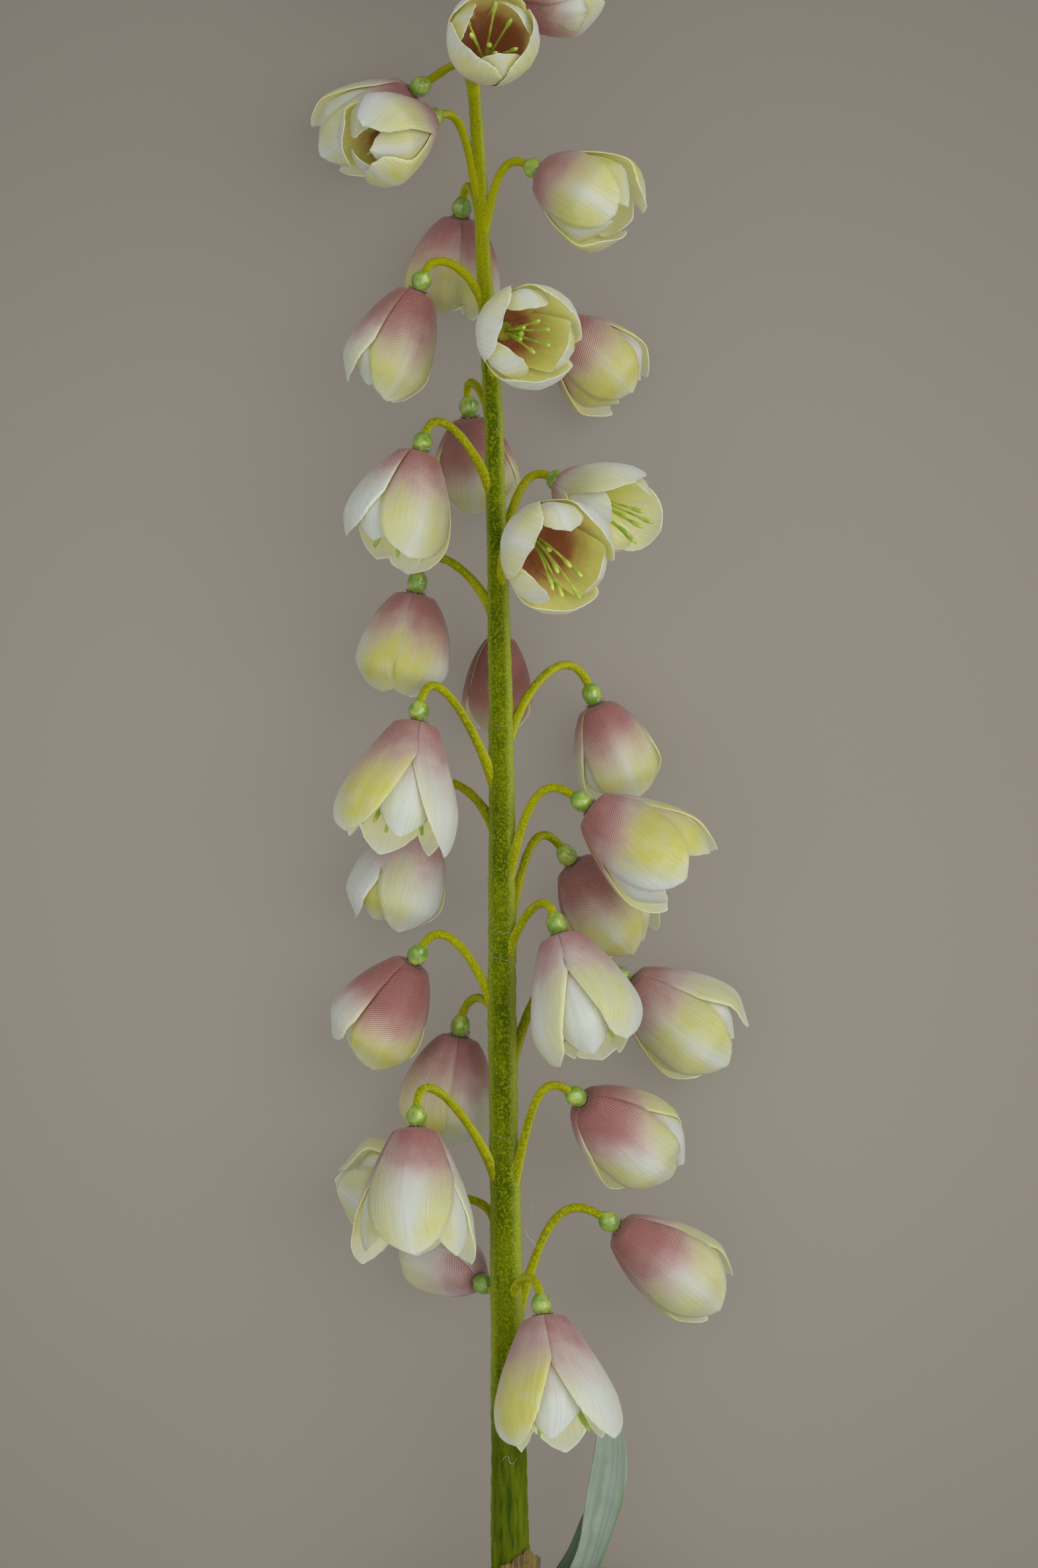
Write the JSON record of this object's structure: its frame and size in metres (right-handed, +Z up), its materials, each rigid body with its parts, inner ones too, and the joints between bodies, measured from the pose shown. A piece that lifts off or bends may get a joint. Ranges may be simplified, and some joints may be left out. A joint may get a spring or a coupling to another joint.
{
  "type": "fritillary flower stem",
  "caption": "Cut stem of nodding bell flowers on arched stalks all round a flocked green stem, with a leaf whorl and tip buds, lying on its side; fabric petals.",
  "frame": {"origin": "centre of the footprint on the surface that the stem lies on", "axes": "+Y runs along the stem from the cut end to the tip, +Z is up from the surface, +X is to the right when seen from above with the tip away"},
  "size_m": [0.0962, 0.484, 0.067],
  "materials": {
    "stem": "flocked, mottled olive green",
    "petal": "fine ribbed cloth, cream and lime dyed to dusty mauve at the base",
    "bud": "fine ribbed cloth, yellow-green",
    "sheath": "dry brown papery wrap",
    "leaf": "satin grey-green cloth"
  },
  "bodies": {
    "root": {"stem": "stem", "bell_01": "petal", "bell_02": "petal", "bell_03": "petal", "bell_04": "petal", "bell_05": "petal", "bell_06": "petal", "bell_07": "petal", "bell_08": "petal", "bell_09": "petal", "bell_10": "petal", "bell_11": "petal", "bell_12": "petal", "bell_13": "petal", "bell_14": "petal", "bell_15": "petal", "bell_16": "petal", "bell_17": "petal", "bell_18": "petal", "bell_19": "petal", "bell_20": "petal", "bell_21": "petal", "bell_22": "petal", "bell_23": "petal", "bell_24": "petal", "bell_25": "petal", "bell_26": "petal", "bell_27": "petal", "bell_28": "petal", "bell_29": "petal", "bell_30": "petal", "bell_31": "petal", "bell_32": "petal", "bud_1": "bud", "bud_2": "bud", "bud_3": "bud", "bud_4": "bud", "bud_5": "bud", "sheath": "sheath", "leaf_1": "leaf", "leaf_2": "leaf", "leaf_3": "leaf", "leaf_4": "leaf"}
  },
  "joints": []
}
